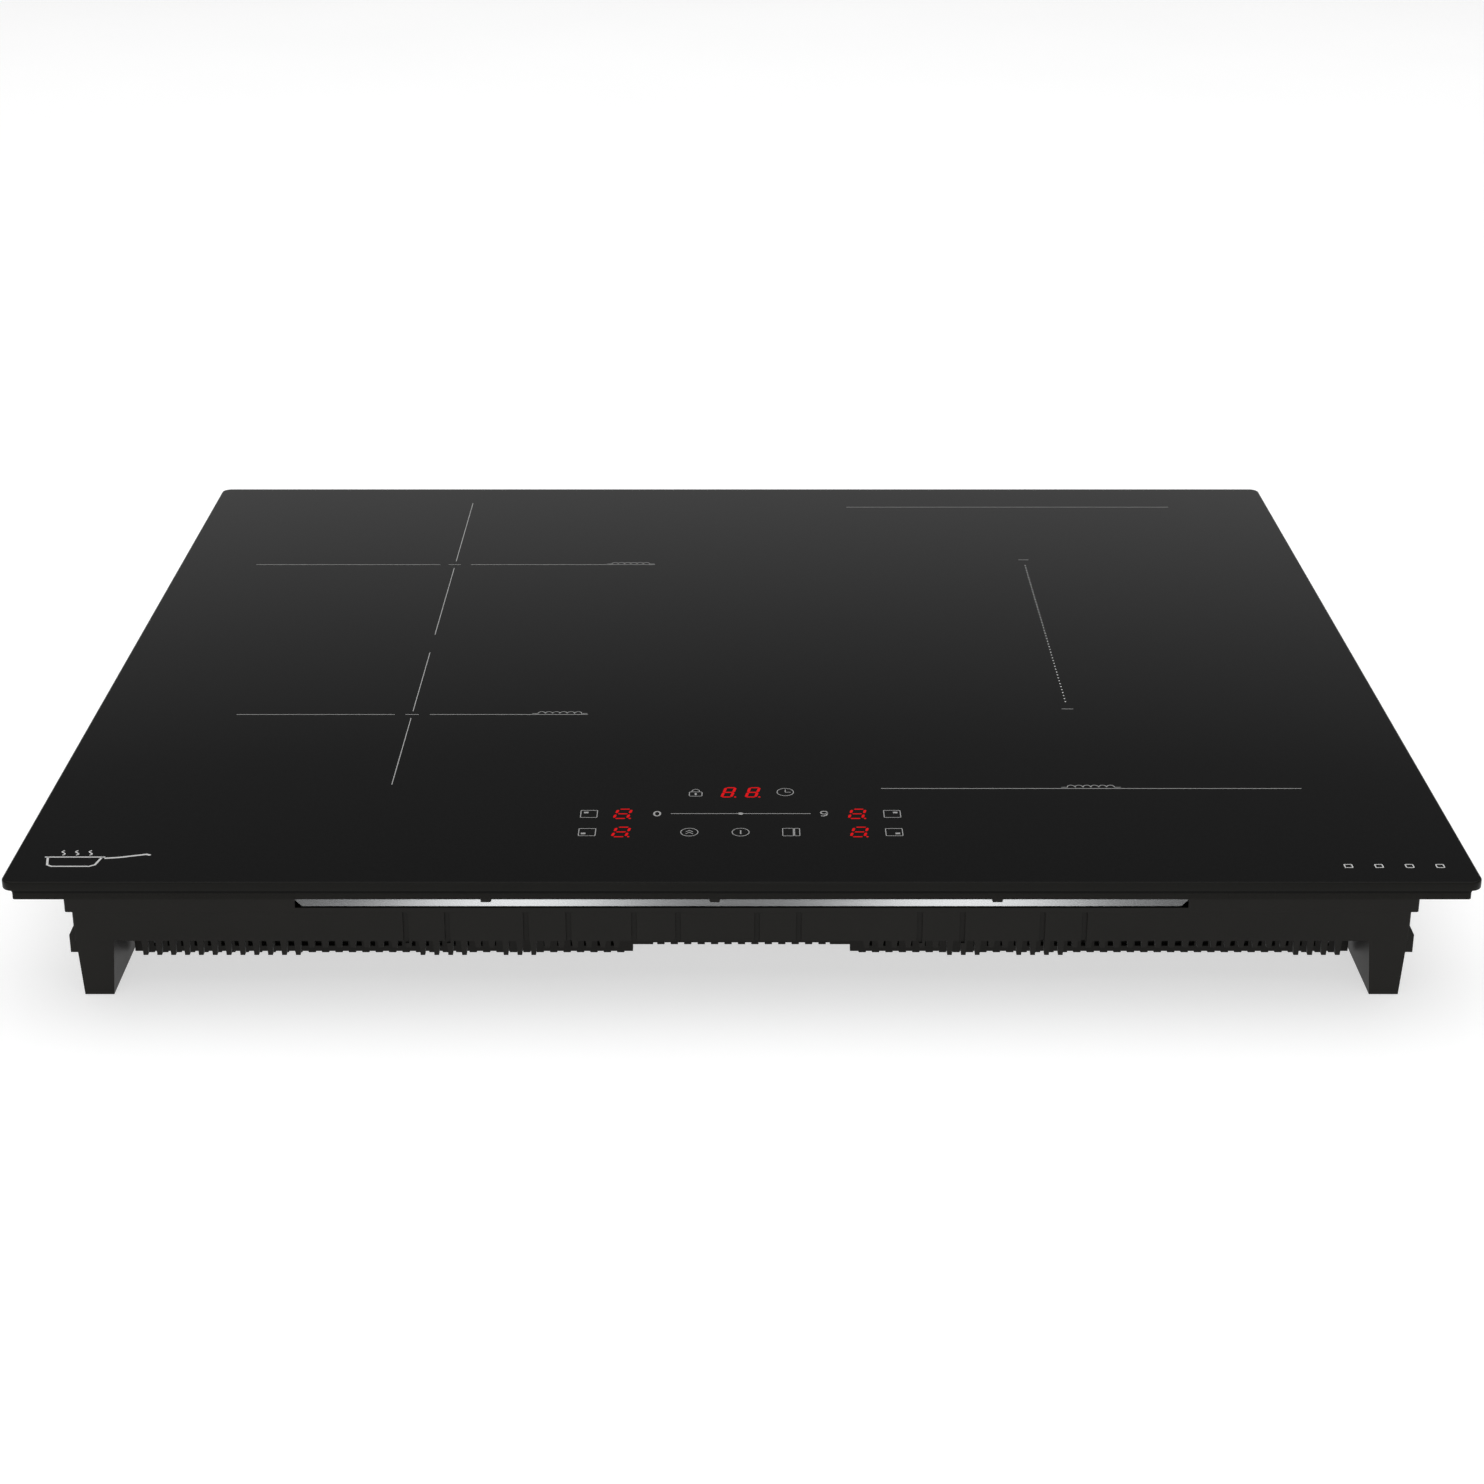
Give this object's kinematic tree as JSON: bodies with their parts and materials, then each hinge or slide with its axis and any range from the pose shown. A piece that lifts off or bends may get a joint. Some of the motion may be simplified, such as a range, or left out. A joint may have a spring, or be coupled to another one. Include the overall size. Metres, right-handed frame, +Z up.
{
  "type": "induction cooktop",
  "caption": "Flat black glass induction cooktop for a worktop cut-out, with a stepped plastic tray on legs, a front touch panel and cooling blowers.",
  "frame": {"origin": "on the ground under the legs, in the middle of the glass in plan", "axes": "+X to the right and +Y to the back, as the cook sees it; +Z up"},
  "size_m": [0.59, 0.52, 0.062],
  "materials": {
    "ceramic_glass": "polished black glass-ceramic, opaque",
    "silicone_bead": "matte black silicone",
    "foam_seal": "fine closed-cell foam",
    "case_plastic": "fine moulded texture, satin black",
    "bright_aluminium": "bright rolled sheet",
    "plain_aluminium": "mill finish",
    "ferrite": "dull sintered gray",
    "zinc_steel": "zinc plated",
    "mica": "layered mica paper",
    "red_silicone": "soft silicone",
    "sensor_ceramic": "fired white ceramic",
    "board": "lacquered circuit board",
    "black_epoxy": "moulded epoxy",
    "led_display": "red light-emitting segments in a moulded block",
    "capacitor_case": "smooth moulded case",
    "copper_winding": "enamelled litz wire",
    "terminal_plastic": "heat-proof moulding",
    "screw_brass": "plain brass",
    "gray_plastic": "glass-filled moulding",
    "bearing_brass": "oiled sintered bronze",
    "shaft_steel": "ground steel",
    "impeller_plastic": "fine moulded texture",
    "wire_sleeve": "silicone and fibre sleeve",
    "ribbon_sleeve": "flat ribbon cable"
  },
  "bodies": {
    "housing": {"glass_plate": "ceramic_glass", "glass_bond": "silicone_bead", "seal_tape": "foam_seal", "carrier_flange": "case_plastic", "carrier_skirt": "case_plastic", "shield_strip": "bright_aluminium", "base_tray": "case_plastic", "pan_floor": "case_plastic", "pan_walls": "case_plastic", "cable_insert": "case_plastic", "plate_posts": "case_plastic", "outlet_grilles": "case_plastic", "rating_plate": "plain_aluminium", "coil_plate": "plain_aluminium", "coil_rear_left": "copper_winding", "coil_front_left": "copper_winding", "coil_rear_right": "copper_winding", "coil_front_right": "copper_winding", "former_rear_left": "gray_plastic", "former_front_left": "gray_plastic", "former_rear_right": "gray_plastic", "former_front_right": "gray_plastic", "ferrite_bars": "ferrite", "coil_springs": "zinc_steel", "mica_sheets": "mica", "sensor_holders": "red_silicone", "temperature_sensors": "sensor_ceramic", "inverter_board_left": "board", "inverter_board_right": "board", "heat_sink_left": "plain_aluminium", "heat_sink_right": "plain_aluminium", "power_modules": "black_epoxy", "film_capacitors": "capacitor_case", "choke_cores": "ferrite", "choke_windings": "copper_winding", "filter_board": "board", "relays": "black_epoxy", "terminal_block": "terminal_plastic", "terminal_screws": "screw_brass", "terminal_cover": "case_plastic", "cable_clamp": "gray_plastic", "control_holder": "gray_plastic", "control_board": "board", "display_modules": "led_display", "touch_springs": "zinc_steel", "fan_housing_left": "gray_plastic", "fan_housing_right": "gray_plastic", "fan_bearings": "bearing_brass", "fan_stators": "copper_winding", "wiring": "wire_sleeve", "ribbon_cable": "ribbon_sleeve", "board_screws": "zinc_steel", "plate_screws": "zinc_steel", "case_screws": "zinc_steel"},
    "fan_left": {"fan_shaft_left": "shaft_steel", "rotor_cup_left": "zinc_steel", "impeller_left": "impeller_plastic"},
    "fan_right": {"fan_shaft_right": "shaft_steel", "rotor_cup_right": "zinc_steel", "impeller_right": "impeller_plastic"}
  },
  "joints": [
    {"name": "fan_left_spin", "type": "hinge", "parent": "housing", "child": "fan_left", "pos_m": [-0.13, 0.14, 0.02], "axis": [0, 0, 1], "continuous": true},
    {"name": "fan_right_spin", "type": "hinge", "parent": "housing", "child": "fan_right", "pos_m": [0.13, 0.14, 0.02], "axis": [0, 0, 1], "continuous": true}
  ]
}
